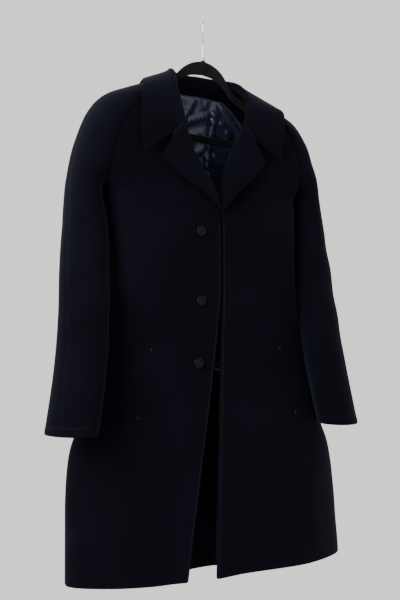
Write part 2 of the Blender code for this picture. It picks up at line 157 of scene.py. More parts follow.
# How the coat hangs askew, by height: slid sideways at its middle, its sides and its sleeves, and
# the share of the droop, which lowers the wearer's left side and lifts the right one. BACK_TAIL is how
# far the middle of the back's hem hangs below the rest
MID_SLIDE = [(-1.20, -.018), (-.62, 0), (-.46, 0), (-.40, -.006), (-.34, -.018), (-.30, -.022),
             (-.22, -.012), (-.14, -.003)]
SIDE_SLIDE = [(-1.20, .017), (-1.05, .011), (-.93, .006), (-.75, -.002), (-.55, -.010),
              (-.466, -.0135), (-.38, -.020), (-.30, -.021), (-.24, -.016), (-.18, -.006)]
SLEEVE_SLIDE = [(-.90, -.018), (-.75, -.0180), (-.55, -.0145), *SIDE_SLIDE[5:]]
DROOP = [(-1.20, -.30), (-.90, .10), (-.34, .15), (-.22, 1)]
BACK_TAIL = 0.026


# ---------------------------------------------------------------- materials

class Nodes:
    """A short way to build one material's node tree."""

    def __init__(self, name, roughness, metallic=0.0):
        self.mat = bpy.data.materials.new(name)
        self.mat.use_nodes = True
        self.tree = self.mat.node_tree
        self.shader = self.tree.nodes["Principled BSDF"]
        self.shader.inputs["Roughness"].default_value = roughness
        self.shader.inputs["Metallic"].default_value = metallic
        self.place = self.add("ShaderNodeTexCoord").outputs["Object"]

    def add(self, kind, **settings):
        node = self.tree.nodes.new(kind)
        for key, value in settings.items():
            setattr(node, key, value)
        return node

    def link(self, a, b):
        self.tree.links.new(a, b)

    def noise(self, scale, detail=3.0, roughness=.5, stretch=(1, 1, 1)):
        mapping = self.add("ShaderNodeMapping")
        mapping.inputs["Scale"].default_value = stretch
        self.link(self.place, mapping.inputs["Vector"])
        tex = self.add("ShaderNodeTexNoise")
        tex.inputs["Scale"].default_value = scale
        tex.inputs["Detail"].default_value = detail
        tex.inputs["Roughness"].default_value = roughness
        self.link(mapping.outputs["Vector"], tex.inputs["Vector"])
        return tex.outputs["Fac"]

    def wave(self, scale, turn):
        mapping = self.add("ShaderNodeMapping")
        mapping.inputs["Rotation"].default_value = turn
        self.link(self.place, mapping.inputs["Vector"])
        tex = self.add("ShaderNodeTexWave")
        tex.inputs["Scale"].default_value = scale
        tex.inputs["Distortion"].default_value = 1.2
        tex.inputs["Detail"].default_value = 1.0
        self.link(mapping.outputs["Vector"], tex.inputs["Vector"])
        return tex.outputs["Fac"]

    def maths(self, operation, a, b):
        node = self.add("ShaderNodeMath", operation=operation)
        for socket, value in zip(node.inputs, (a, b)):
            if isinstance(value, (int, float)):
                socket.default_value = value
            else:
                self.link(value, socket)
        return node.outputs[0]

    def ramp(self, value, stops, target):
        ramp = self.add("ShaderNodeValToRGB")
        ramp.color_ramp.elements[0].position = stops[0][0]
        ramp.color_ramp.elements[0].color = (*stops[0][1], 1)
        ramp.color_ramp.elements[1].position = stops[-1][0]
        ramp.color_ramp.elements[1].color = (*stops[-1][1], 1)
        for at, colour in stops[1:-1]:
            ramp.color_ramp.elements.new(at).color = (*colour, 1)
        self.link(value, ramp.inputs["Fac"])
        self.link(ramp.outputs["Color"], self.shader.inputs[target])

    def bump(self, height, strength, distance):
        bump = self.add("ShaderNodeBump")
        bump.inputs["Strength"].default_value = strength
        bump.inputs["Distance"].default_value = distance
        self.link(height, bump.inputs["Height"])
        self.link(bump.outputs["Normal"], self.shader.inputs["Normal"])


def wool_material():
    """Heavy milled wool: a faint twill under a short nap, with flecks a shade lighter."""
    m = Nodes("milled_navy_wool", .92)
    nap = m.noise(520, 6, .7)
    clouds = m.noise(7, 4, .55)
    twill = m.wave(210, (0, math.radians(38), 0))
    tone = m.maths("ADD", m.maths("MULTIPLY", nap, .55), m.maths("MULTIPLY", clouds, .45))
    m.ramp(tone, [(.28, (.0005, .0005, .0014)), (.5, (.0011, .0011, .0028)), (.74, (.0025, .0025, .0056))],
           "Base Color")
    m.shader.inputs["Sheen Weight"].default_value = .041
    m.shader.inputs["Sheen Roughness"].default_value = .45
    m.shader.inputs["Sheen Tint"].default_value = (.42, .46, .84, 1)
    m.shader.inputs["Specular IOR Level"].default_value = .042
    m.bump(m.maths("ADD", m.maths("MULTIPLY", nap, .8), m.maths("MULTIPLY", twill, .35)), .55, .0007)
    return m.mat


def satin_material():
    """Slippery satin lining: fine warp lines and a long soft gloss."""
    m = Nodes("navy_satin_lining", .26)
    warp = m.noise(260, 2, .5, (8, 8, .6))
    clouds = m.noise(16, 3)
    m.ramp(clouds, [(.3, (.0125, .0140, .0310)), (.7, (.0310, .0340, .0640))], "Base Color")
    m.shader.inputs["Specular IOR Level"].default_value = .55
    m.shader.inputs["Specular Tint"].default_value = (.74, .80, 1, 1)
    m.shader.inputs["Sheen Weight"].default_value = .10
    m.shader.inputs["Sheen Roughness"].default_value = .3
    m.shader.inputs["Sheen Tint"].default_value = (.6, .65, .9, 1)
    m.bump(warp, .25, .0003)
    return m.mat


def flock_material():
    m = Nodes("black_flocking", .96)
    pile = m.noise(1400, 5, .8)
    rubs = m.noise(24, 5, .6)
    m.ramp(m.maths("ADD", m.maths("MULTIPLY", pile, .5), m.maths("MULTIPLY", rubs, .5)),
           [(.3, (.0012, .0012, .0013)), (.7, (.0045, .0045, .0048))], "Base Color")
    m.shader.inputs["Sheen Weight"].default_value = .04
    m.shader.inputs["Sheen Roughness"].default_value = .6
    m.shader.inputs["Specular IOR Level"].default_value = .05
    m.bump(pile, .7, .0006)
    return m.mat


def chrome_material():
    m = Nodes("polished_chrome", .14, 1.0)
    m.shader.inputs["Base Color"].default_value = (.62, .63, .65, 1)
    rubs = m.noise(180, 4, .6, (1, 1, .15))
    m.ramp(rubs, [(.35, (.09, .09, .09)), (.75, (.27, .27, .27))], "Roughness")
    m.bump(rubs, .04, .0002)
    return m.mat


def horn_material():
    m = Nodes("dark_horn", .27)
    grain = m.noise(120, 5, .65, (1, 1, 3.5))
    m.ramp(grain, [(.35, (.0008, .0008, .0011)), (.6, (.0018, .0017, .0021)), (.8, (.0060, .0050, .0048))],
           "Base Color")
    m.shader.inputs["Coat Weight"].default_value = .02
    m.shader.inputs["Specular IOR Level"].default_value = .09
    m.bump(m.noise(700, 3), .08, .0002)
    return m.mat


def thread_material():
    m = Nodes("navy_thread", .6)
    twist = m.noise(1800, 2)
    m.ramp(twist, [(.3, (.0014, .0014, .0030)), (.7, (.0052, .0054, .0095))], "Base Color")
    m.bump(twist, .4, .0002)
    return m.mat


def canvas_material():
    m = Nodes("grey_canvas", .9)
    weave = m.maths("ADD", m.wave(900, (0, 0, 0)), m.wave(900, (0, math.radians(90), 0)))
    m.ramp(m.noise(60, 4), [(.3, (.070, .070, .076)), (.7, (.115, .115, .122))], "Base Color")
    m.bump(weave, .35, .0002)
    return m.mat


WOOL_MAT = wool_material()
SATIN_MAT = satin_material()
FLOCK_MAT = flock_material()
CHROME_MAT = chrome_material()
HORN_MAT = horn_material()
THREAD_MAT = thread_material()
CANVAS_MAT = canvas_material()


# ---------------------------------------------------------------- lines

def catmull(p, steps=16):
    """A dense smooth line through the rows of p."""
    p = np.vstack([2 * p[0] - p[1], p, 2 * p[-1] - p[-2]])
    dense = []
    for a, b, c, d in zip(p[:-3], p[1:-2], p[2:-1], p[3:]):
        for t in np.linspace(0, 1, steps, endpoint=False):
            dense.append(.5 * (2 * b + (c - a) * t + (2 * a - 5 * b + 4 * c - d) * t ** 2
                               + (3 * b - a - 3 * c + d) * t ** 3))
    return np.array([*dense, p[-2]])


def run_of(line):
    return np.concatenate([[0], np.cumsum(np.linalg.norm(np.diff(line, axis=0), axis=1))])


def resample(line, at):
    run = run_of(line)
    return np.stack([np.interp(at, run, line[:, k]) for k in range(line.shape[1])], axis=1)


def even(line, count):
    line = np.array(line, float)
    return resample(line, np.linspace(0, run_of(line)[-1], count))


def spline(points, count):
    return even(catmull(np.array(points, float)), count)


def at_height(line, z):
    """The point of a falling line at height z."""
    line = line[::-1]
    return np.array([np.interp(z, line[:, 2], line[:, k]) for k in range(2)] + [z])


def smooth(t):
    t = np.clip(t, 0, 1)
    return t * t * (3 - 2 * t)


def from_table(z, table):
    return np.interp(z, [row[0] for row in table], [row[1] for row in table])


def hung(points, slide=SIDE_SLIDE):
    """Points of the coat as laid out evenly, moved to where they hang."""
    p = np.array(points, float)
    x, y, z = p[..., 0], p[..., 1], p[..., 2]
    reach = np.abs(x)
    middle, side = from_table(z, MID_SLIDE), from_table(z, slide)
    aside = middle + (side - middle) * smooth((reach - .03) / .15)
    droop = np.sign(x) * smooth(reach / .07) * (.006 + .055 * np.maximum(0, reach - .02))
    droop = droop * (1 - smooth((-.055 - y) / .045) * smooth((z + .45) / .12))
    tail = BACK_TAIL * smooth(y / .06) * smooth((-1.0 - z) / .2) * (1 - smooth((reach - .10) / .20))
    return np.stack([x + aside, y, z - droop * from_table(z, DROOP) - tail], axis=-1)


def laid_out(x, z):
    """The even layout's x for a point that hangs at x."""
    guess = x
    for _ in range(6):
        guess = x - (float(hung((guess, 0, z))[0]) - guess)
    return guess


def hinge_x(side, z):
    """Where the skirt's fold line lies: it hangs straight from the break to the hem."""
    return side * laid_out(side * (FOLD_X + FOLD_OUT * (BREAK_Z - z) / FOLD_TALL), z)


def edge_x(side, z):
    """The front edge; the wearer's right one falls back towards the hem."""
    if side > 0:
        return EDGE_X
    return EDGE_X + .0640 * max(0, (-.60 - z) / .605) ** 1.2


FRONT_SEAM, BACK_SEAM = spline(FRONT_RAGLAN, 160), spline(BACK_RAGLAN, 160)
BODY_TABLE = spline(BODY, 120)[::-1]
ROLL = spline(COLLAR_FOLD[4:] + ROLL_LINE[1:], 60)


def body_size(z):
    return [float(np.interp(z, BODY_TABLE[:, 0], BODY_TABLE[:, k])) for k in (1, 2)]


def front_depth(z):
    """How far in front of the hook the middle of the chest lies."""
    return float(np.interp(z, [-1.2, -.7, BREAK_Z, -.33, -.25, -.19, -.15],
                           [-.100, -.096, -.095, -.091, -.082, -.064, -.045]))


def back_depth(z):
    """How far behind the hook the middle of the back lies."""
    return float(np.interp(z, [-1.2, -.8, -.4, -.26, -.19, -.14], [.092, .084, .080, .074, .064, .048]))


def roll_x(z):
    return max(.002, float(at_height(ROLL, z)[0]))


# ---------------------------------------------------------------- cloth surfaces

def row_between(inner, outer, square, arc, count):
    """Part of a rounded square's edge, from inner round to outer."""
    angles = np.linspace(0, math.radians(arc), 90)
    across = np.sin(angles) ** (2 / square)
    fall = np.clip(np.cos(angles), 0, 1) ** (2 / square)
    x = inner[0] + (outer[0] - inner[0]) * across / across[-1]
    y = inner[1] + (outer[1] - inner[1]) * (1 - fall) / (1 - fall[-1])
    return even(np.stack([x, y, np.full(90, inner[2])], axis=1), count)


def torso_row(z, front, inner_x, count, trim=None, end_x=None):
    """The front's or back's row at height z, from inner_x to its seam, lapped a little, or to end_x."""
    if trim is None:
        trim = -.0010 - .0024 * smooth((-.33 - z) / .03) * smooth((z + .42) / .01)
    if z > UNDERARM_Z:
        outer = at_height(FRONT_SEAM if front else BACK_SEAM, z)
        drop = min(1, max(0, (-.30 - z) / .10))
        square, arc = 2 + 1.6 * drop, 60 + 30 * drop
    else:
        half, square = body_size(z)
        outer, arc = np.array([half, .010, z]), 90
    middle = np.array([0, front_depth(z) if front else back_depth(z), z])
    full = row_between(middle, outer, square, arc, 200)
    beyond = full[-1] + (full[-1] - full[-2]) / np.linalg.norm(full[-1] - full[-2]) * SEAM_LAP
    full = np.vstack([full, beyond])
    run = run_of(full)
    start = float(np.interp(inner_x, full[:, 0], run))
    stop = run[-2] - trim if end_x is None else float(np.interp(end_x, full[:, 0], run))
    return resample(full, np.linspace(start, max(stop, start + .002), count))


def sleeve_rows(count, rows, trim=.0004):
    """Whole rows of a sleeve: from the front seam over the top to the back seam."""
    tables = []
    for front in (True, False):
        lines = []
        for top, low, arc in zip(SHOULDER, FRONT_RAGLAN if front else BACK_RAGLAN, SHOULDER_ARC):
            reach = max(abs(low[1] - top[1]), .076 if arc > 90 else 0)
            lines.append([*top, *low, arc, 0, -reach if front else reach, 0])
        for z, x, y, long, short, turn in SLEEVE:
            a = math.radians(turn)
            side = np.array([math.sin(a), -math.cos(a), 0]) * short
            deep = np.array([math.cos(a), math.sin(a), 0]) * (-long if front else long)
            middle = np.array([x, y, z])
            lines.append([*(middle + side), *(middle - side), 180, *deep])
        dense = catmull(np.array(lines, float))
        run = run_of(dense[:, :3])
        at = np.linspace(0, run[-1], rows)
        tables.append(np.stack([np.interp(at, run, dense[:, k]) for k in range(10)], axis=1))
    lofted = []
    for fore, aft in zip(*tables):
        halves = []
        for values in (fore, aft):
            top, low, arc, reach = values[:3], values[3:6], math.radians(values[6]), values[7:]
            middle = (low - top * math.cos(arc) - reach * math.sin(arc)) / (1 - math.cos(arc))
            line = np.array([middle + (top - middle) * math.cos(t) + reach * math.sin(t)
                             for t in np.linspace(0, arc, 60)])
            halves.append(resample(line, np.linspace(0, run_of(line)[-1] - trim, count)))
        lofted.append(np.vstack([halves[0][::-1], halves[1][1:]]))
    return lapped(np.array(lofted))


def lapped(rows):
    """A sleeve's rows with their ends carried on beneath the body's cloth, as a seam allowance."""
    sunk = rows - outward(rows, None) * SEAM_SINK
    ends = []
    for end, before in ((0, 1), (-1, -2)):
        step = sunk[:, end] - sunk[:, before]
        ends.append(sunk[:, end] + step / np.linalg.norm(step, axis=1, keepdims=True) * SEAM_LAP)
    return np.concatenate([ends[0][:, None], rows, ends[1][:, None]], axis=1)


def normals_of(rows):
    down = np.gradient(rows, axis=0)
    across = np.gradient(rows, axis=1)
    n = np.cross(across, down)
    return n / np.maximum(np.linalg.norm(n, axis=2, keepdims=True), 1e-9)


def outward(rows, out):
    """Unit normals of a grid, on the side that out is on, or away from the middle of a tube's rows."""
    n = normals_of(rows)
    away = rows - rows.mean(axis=1, keepdims=True) if out is None else np.array(out, float)
    return -n if (n * away).sum() < 0 else n


def displaced(rows, out, amount):
    """rows moved along their outward normals by amount(point, row share, column share)."""
    n = outward(rows, out)
    down, across = rows.shape[:2]
    moved = rows.copy()
    for i in range(down):
        for j in range(across):
            moved[i, j] += n[i, j] * amount(rows[i, j], i / (down - 1), j / (across - 1))
    return moved


def linked(name, data):
    """A new object of the scene."""
    obj = bpy.data.objects.new(name, data)
    bpy.context.scene.collection.objects.link(obj)
    return obj


def hills(p, scale, seed):
    return noise.noise(Vector((p[0] * scale + seed, p[1] * scale, p[2] * scale)))


def surface(name, rows, mat, side=1, out=FRONTWARDS, depth=0.0, thick=WOOL, rounds=1, slide=SIDE_SLIDE):
    """A hung cloth piece through rows of points, thickened inwards, with rounded edges."""
    away = outward(rows, out)
    rows = hung((rows - away * depth) * np.array([side, 1, 1]), slide)
    away = away * np.array([side, 1, 1])
    down, across = rows.shape[:2]
    mesh = bpy.data.meshes.new(name)
    bm = bmesh.new()
    verts = [[bm.verts.new(rows[i, j]) for j in range(across)] for i in range(down)]
    for i in range(down - 1):
        for j in range(across - 1):
            bm.faces.new((verts[i][j], verts[i + 1][j], verts[i + 1][j + 1], verts[i][j + 1]))
    bm.normal_update()
    if sum(verts[i][j].normal.dot(away[i, j]) for i in range(down) for j in range(across)) < 0:
        bmesh.ops.reverse_faces(bm, faces=bm.faces)
    bm.to_mesh(mesh)
    bm.free()
    obj = linked(name, mesh)
    solid = obj.modifiers.new("thickness", "SOLIDIFY")
    solid.thickness = thick
    solid.offset = -1
    if rounds:
        obj.modifiers.new("rounding", "SUBSURF").levels = rounds
    return settle(obj, mat)


def settle(obj, mat):
    """Applies the modifiers, or turns a curve into a mesh, and gives it its material."""
    bpy.context.view_layer.update()
    evaluated = obj.evaluated_get(bpy.context.evaluated_depsgraph_get())
    mesh = bpy.data.meshes.new_from_object(evaluated)
    name, place = obj.name, obj.matrix_world.copy()
    bpy.data.objects.remove(obj)
    made = linked(name, mesh)
    made.matrix_world = place
    mesh.materials.clear()
    mesh.materials.append(mat)
    mesh.shade_smooth()
    return made


def tube(name, points, radius, mat, resolution=4):
    curve = bpy.data.curves.new(name, "CURVE")
    curve.dimensions = "3D"
    line = curve.splines.new("POLY")
    line.points.add(len(points) - 1)
    for point, place in zip(line.points, points):
        point.co = (*place, 1)
    curve.bevel_depth = radius
    curve.bevel_resolution = resolution
    curve.use_fill_caps = True
    return settle(linked(name, curve), mat)


def joined(name, pieces):
    """Several meshes as one object, each keeping its material."""
    bpy.ops.object.select_all(action="DESELECT")
    for piece in pieces:
        piece.select_set(True)
    bpy.context.view_layer.objects.active = pieces[0]
    bpy.ops.object.join()
    pieces[0].name = name
    return pieces[0]


def worn(piece, slot_name, *nodes, body="coat"):
    """Rides a finished piece on a body, in place of its CAD nodes."""
    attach(piece, body)
    if nodes:
        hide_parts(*nodes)
    return piece


def opens(piece, side, slot_name, *nodes):
    """A piece of a front, with its transform baked in, in place of its CAD nodes."""
    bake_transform(piece)
    if nodes:
        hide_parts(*nodes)
    return piece


# ---------------------------------------------------------------- the body of the coat

def front_folds(p):
    """Soft hanging folds that grow towards the hem, and a faint drag from the shoulder."""
    low = smooth((-.50 - p[2]) / .65)
    hang = math.sin(p[0] * 31 + 1.3 + .8 * math.sin(p[2] * 3.1)) * .0032 * low
    drag = hills(p * np.array([1, 1, .35]), 7.5, 3.1) * .0042
    return hang + drag + hills(p, 21, 8.0) * .0010


def back_folds(p):
    low = smooth((-.42 - p[2]) / .7)
    hang = math.sin(p[0] * 26 + .6 * math.sin(p[2] * 2.7 + 1)) * .0052 * low
    return hang + hills(p * np.array([1, 1, .3]), 8, 5.7) * .0045 + hills(p, 23, 1.0) * .0010


def flat_at_seam(amount, across, inner):
    """Folds fade out towards the seams, which hold the cloth together."""
    return amount * smooth((across - inner) / .12) * smooth((1 - across) / .10)


def stack(*parts):
    """Falling heights, closer together where the cloth bends more."""
    return np.concatenate([np.linspace(a, b, n, endpoint=False) for a, b, n in parts] + [[parts[-1][1]]])


def front_cloth(side, tag):
    """A whole front from neck to hem; its edge laps over or under the other front's."""
    zs = stack((FRONT_TOP_Z, BREAK_Z, BREAK_ROWS), (BREAK_Z, HEM_Z, 66))
    rows = []
    for z in zs:
        inner = roll_x(z) if z > BREAK_Z else edge_x(side, z)
        rows.append(torso_row(z, True, inner, 46))
    rows = displaced(np.array(rows), FRONTWARDS,
                     lambda p, d, a: flat_at_seam(front_folds(p * [side, 1, 1]), a, -.12))
    lap = EDGE_OVER if side > 0 else EDGE_UNDER
    for i, z in enumerate(zs):
        near = np.clip(1 - (rows[i, :, 0] - rows[i, 0, 0]) / .035, 0, 1) ** 2
        rows[i, :, 1] -= lap * near * smooth((BREAK_Z + .03 - z) / .05)
    piece = surface(f"front_cloth_{tag}", rows, WOOL_MAT, side)
    opens(piece, side, "wool", f"front_{tag}", f"skirt_{tag}")
    edge = [even(row, 200)[3] - [0, .0002, 0] for row in rows[BREAK_ROWS + 2:]]
    opens(stitches(f"edge_stitches_{tag}", edge, side), side, "wool")


def back_cloth(side, tag):
    """Half the back, with the centre seam pressed in and lapped a little above the vent."""
    zs = stack((BACK_TOP_Z, UNDERARM_Z, 26), (UNDERARM_Z, -1.2045, 60))
    rows = np.array([torso_row(z, False, .0004, 44) for z in zs])
    rows = displaced(rows, BACKWARDS,
                     lambda p, d, a: flat_at_seam(back_folds(p * [side, 1, 1]), a, -.10))
    rows[:, :, 1] -= np.exp(-(rows[:, :, 0] / .0032) ** 2) * .0014
    rows[zs > VENT_Z, 0] -= [.0016, .0012, 0]
    piece = surface(f"back_cloth_{tag}", rows, WOOL_MAT, side, out=BACKWARDS)
    worn(piece, "wool", f"back_{tag}")


def vent_flap():
    """The under layer of the vent, behind the wearer's right half of the back."""
    zs = np.linspace(VENT_Z - .001, -1.2035, 30)
    rows = np.array([[(x, back_depth(z) - .0052, z) for x in np.linspace(.009, -.038, 12)] for z in zs])
    rows = displaced(rows, BACKWARDS, lambda p, d, a: back_folds(p))
    piece = surface("vent_flap", rows, WOOL_MAT, out=BACKWARDS, thick=.0028)
    worn(piece, "wool", "vent_underlap")


def sleeve_creases(p, across):
    """Elbow creases, a few slanting drags, and the pressed overarm seam."""
    elbow = math.exp(-((p[2] + .60) / .13) ** 2)
    around = math.cos((across - .30) * 2 * math.pi)
    crease = math.sin(p[2] * 62 + across * 9) * .0021 * elbow * max(0, around)
    drag = hills(p * np.array([1, 1, .4]), 9, 2.2) * .0040 * smooth((-.20 - p[2]) / .12)
    seam = -.0013 * math.exp(-((across - .5) / .010) ** 2)
    return (crease + drag) * smooth(across / .08) * smooth((1 - across) / .08) + seam


def sleeve(side, tag):
    """A whole raglan sleeve, its stitched cuff, and its lining."""
    rows = sleeve_rows(30, 96)
    rows = displaced(rows, None, lambda p, d, a: sleeve_creases(p, a) * smooth((1 - d) / .03))
    piece = surface(f"sleeve_cloth_{tag}", rows, WOOL_MAT, side, None, slide=SLEEVE_SLIDE)
    worn(piece, "wool", f"sleeve_front_{tag}", f"sleeve_back_{tag}")
    cuff = rows[-3, 3:-3] - normals_of(rows)[-3, 3:-3] * .0001
    worn(stitches(f"cuff_stitches_{tag}", cuff, side, SLEEVE_SLIDE), "wool")
    inner = sleeve_rows(16, 60, .002)[5:-1]
    inner = displaced(inner, None,
                      lambda p, d, a: -.0016 + hills(p, 38, 4) * .0016 * smooth((1 - d) / .06))
    lining = surface(f"sleeve_lining_{tag}", inner, SATIN_MAT, side, None,
                     SLEEVE_LINING_DEPTH, LINING, 0, SLEEVE_SLIDE)
    worn(lining, "lining_satin", f"sleeve_lining_front_{tag}", f"sleeve_lining_back_{tag}")


# ---------------------------------------------------------------- collar and lapels

def both_halves(half):
    """A half laid out from the centre back, with its mirror image before it."""
    return np.concatenate([(half * [-1, 1, 1])[:0:-1], half])


def collar():
    """The collar rolls over at its fold: stand, roll and turned-down leaf are one cloth."""
    half = 46
    fold, edge = spline(COLLAR_FOLD, half), spline(COLLAR_EDGE, half)
    stand_height = np.interp(np.linspace(0, 1, half), [0, .25, .45, .62, .8, 1],
                             [.024, .022, .015, .012, .010, .004])
    rows = []
    for i, (a, b) in enumerate(zip(fold, edge)):
        span = b - a
        back = i / (half - 1)
        up = np.array([0, 0, 1.0])
        outer = span * [1, 1, 0]
        outer = outer / max(np.linalg.norm(outer), 1e-9)
        # Up the stand, over the fold, then down the leaf
        line = [a - outer * .0065 - up * (stand_height[i] * (1 - t) + .001) for t in np.linspace(0, .8, 5)]
        line += [a - outer * .0030 + up * .0022, a + outer * .0026 + up * .0024]
        for t in np.linspace(.10, 1, 16):
            swell = .0085 - .0055 * smooth((back - .25) / .25) - .0090 * smooth((back - .80) / .20)
            swell *= math.sin(math.pi * min(1, t * .96)) ** .7
            line.append(a + span * t + up * swell * (1 - .35 * back)
                        - np.array([0, .35 * swell * back, 0]))
        rows.append(even(catmull(np.array(line), 6), 34))
    ring = both_halves(np.array(rows))
    ring = displaced(ring, UP, lambda p, d, a: hills(p, 16, 6.0) * .0012 * smooth(a / .3))
    piece = surface("collar_cloth", ring, WOOL_MAT, out=UP, thick=.0040)
    worn(piece, "wool", "top_collar", "under_collar", "collar_stand")


def lapel(side, tag):
    """A lapel that is turned back along the roll line."""
    roll = np.vstack([np.array(ROLL_LINE[0]) + [.003, .003, .010], spline(ROLL_LINE, 44)])
    corner = np.vstack([np.array(LAPEL_EDGE[0]) + [.002, .004, .008], spline(LAPEL_EDGE[:2], 9)])
    edge = np.vstack([corner[:-1], spline(LAPEL_EDGE[1:], 36)])
    rows = []
    for a, b in zip(roll, edge):
        span = b - a
        turn = a + np.array([-.0016, .0030, 0])
        line = [turn, a + np.array([-.0030, -.0012, 0])]
        line += [a + span * t - np.array([0, .0046 * math.sin(math.pi * min(1, t * .97)) ** .6, 0])
                 for t in np.linspace(.05, 1, 14)]
        rows.append(even(catmull(np.array(line), 5), 26))
    rows = displaced(np.array(rows), FRONTWARDS,
                     lambda p, d, a: hills(p, 14, 2.0) * .0012 * smooth(a / .4))
    piece = surface(f"lapel_cloth_{tag}", rows, WOOL_MAT, side, thick=.0038)
    worn(piece, "wool", f"lapel_{tag}")


# ---------------------------------------------------------------- inside the coat

def crumple(p, seed, turn=0.0):
    """Satin that has slipped down in the neck: sharp ridges that run down aslant, and a few across."""
    along = p[0] * math.sin(turn) + p[2] * math.cos(turn)
    across = p[0] * math.cos(turn) - p[2] * math.sin(turn)
    ridge = 1 - abs(hills((across * 38, p[1] * 4, along * 9), 1, seed)) * 2.6
    cross = 1 - abs(hills((across * 20, p[1] * 4, along * 30), 1, seed + 9)) * 2.4
    return .0062 * max(0, ridge) ** 2 + .0026 * max(0, cross) ** 2


def back_lining(side, tag):
    """Slack satin across the back, crumpled in the neck and calm low down, with one deep pleat."""
    zs = stack((SATIN_TOP_Z, -.42, 52), (-.42, LINING_HEM_Z, 56))
    rows = np.array([torso_row(z, False, .0005 + SATIN_STEP * smooth((SATIN_STEP_Z - z) / .036), 52, .006)
                     for z in zs])

    def wrinkles(p, d, a):
        strong = (.35 + .65 * smooth((p[2] + .62) / .30)) * (1 - .92 * smooth((-.56 - p[2]) / .14))
        pleat = -.0075 * math.exp(-((p[0] - PLEAT_X) / .0050) ** 2) if side > 0 else 0
        hold = smooth(d / .03) * smooth((1 - a) / .08)
        fan, full = (.75, 1) if p[0] * side < FAN_X else (-.85, 1.5)
        slack = (-crumple(p * [side, 1, 1], 5.0, fan) * strong * full + pleat) * hold
        return slack + flat_at_seam(back_folds(p * [side, 1, 1]), a, -.10)

    rows = displaced(rows, BACKWARDS, wrinkles)
    rows[zs > -.75, 0] -= [.0014, -.0006, 0]
    piece = surface(f"satin_back_{tag}", rows, SATIN_MAT, side, BACKWARDS, BACK_LINING_DEPTH, LINING)
    worn(piece, "lining_satin", f"back_lining_{tag}")


def front_inside(side, tag):
    """The wool facing along the front edge, and the satin from there to the side."""
    zs = stack((FACING_TOP_Z, BREAK_Z, 26), (BREAK_Z, LINING_HEM_Z, 50))
    facing, lining = [], []
    for z in zs:
        edge = roll_x(z) + .001 if z > BREAK_Z else edge_x(side, z) + .0015
        facing.append(torso_row(z, True, edge, 10, end_x=edge + FACING_WIDE))
        lining.append(torso_row(z, True, edge + LINING_FROM, 30, .010))
    facing = displaced(np.array(facing), FRONTWARDS, lambda p, d, a: front_folds(p * [side, 1, 1]))
    facing_piece = surface(f"facing_cloth_{tag}", facing, WOOL_MAT, side,
                           depth=FACING_DEPTH, thick=.0016, rounds=0)
    opens(facing_piece, side, "wool", f"facing_{tag}")
    rows = displaced(np.array(lining)[2:], FRONTWARDS,
                     lambda p, d, a: flat_at_seam(front_folds(p * [side, 1, 1]), a, -.12)
                     - crumple(p * [side, 1, 1], 12.0) * .30 * smooth(d / .04) * smooth((1 - a) / .1))
    lining_piece = surface(f"satin_front_{tag}", rows, SATIN_MAT, side,
                           depth=LINING_DEPTH, thick=LINING, rounds=0)
    opens(lining_piece, side, "lining_satin", f"front_lining_{tag}", f"skirt_lining_{tag}")


def neck_yoke():
    """The narrow wool facing below the back neck and its piped lower edge."""
    half = np.array([torso_row(z, False, 0, 30, end_x=YOKE_HALF)
                     for z in np.linspace(-.138, -.1590, 8)])
    rows = np.concatenate([(half * [-1, 1, 1])[:, :0:-1], half], axis=1)
    rows[:, :, 2] += .006 * (np.abs(rows[:, :, 0]) / YOKE_HALF) ** 2 * np.linspace(0, 1, 8)[:, None]
    yoke = surface("neck_yoke", rows, WOOL_MAT, out=BACKWARDS, depth=.0052, thick=.0022)
    worn(yoke, "wool", "neck_facing")
    edge = (rows - outward(rows, BACKWARDS) * .0084)[-1]
    worn(tube("yoke_piping", hung(edge[6:-6]), .0009, SATIN_MAT), "lining_satin")


def pocket(side, tag):
    """A slanting welt with a bar tack at each end, and the bag behind it."""
    rows = []
    for t in np.linspace(0, 1, 26):
        start = POCKET_X + POCKET_OUT * t
        rows.append(torso_row(POCKET_Z - POCKET_TALL * t, True, start, 12, end_x=start + WELT_WIDE))
    rows = displaced(np.array(rows), FRONTWARDS, lambda p, d, a: front_folds(p * [side, 1, 1]))
    welt = surface(f"welt_{tag}", rows, WOOL_MAT, side, depth=-.0014, thick=.0030)
    worn(welt, "wool", f"pocket_welt_{tag}")
    tacks = []
    for row in (rows[1], rows[-2]):
        for k in range(5):
            a = hung((row[9] + np.array([-.0012 * k, -.0019, 0])) * [side, 1, 1])
            tacks.append(tube(f"tack_{tag}_{k}", [a, a + np.array([0, -.0003, -.004])], .00035,
                              THREAD_MAT, 2))
    worn(joined(f"bar_tacks_{tag}", tacks), "wool")
    bag = [torso_row(-.735 - .20 * t, True, .165 + .02 * t, 14, end_x=.205 + .03 * t)
           for t in np.linspace(0, 1, 24)]
    bag = displaced(np.array(bag), FRONTWARDS,
                    lambda p, d, a: front_folds(p * [side, 1, 1]) + hills(p, 30, 5) * .0006)
    bag_piece = surface(f"bag_{tag}", bag, CANVAS_MAT, side, depth=.0046, thick=.0012)
    worn(bag_piece, "canvas", f"pocket_bag_{tag}")


def shoulder_pad(side, tag):
    """A thin layered pad in the top of the sleeve, behind the shoulder line."""
    rows = sleeve_rows(20, 90, .006)[14:26, 22:34]
    pad = surface(f"pad_{tag}", rows, CANVAS_MAT, side, None, .0048, .0018)
    worn(pad, "canvas", f"shoulder_pad_{tag}")


def fly_layer():
    """The under layer of the fly, which holds the buttonholes, behind the wearer's left edge."""
    rows = np.array([torso_row(z, True, .005, 14, end_x=min(.058, hinge_x(1, z) - .004))
                     for z in np.linspace(FLY_TOP_Z, FLY_END_Z, 40)])
    rows = displaced(rows, FRONTWARDS, lambda p, d, a: front_folds(p))
    piece = surface("fly_layer", rows, WOOL_MAT, depth=.0042, thick=.0016)
    opens(piece, 1, "wool", "fly_placket")


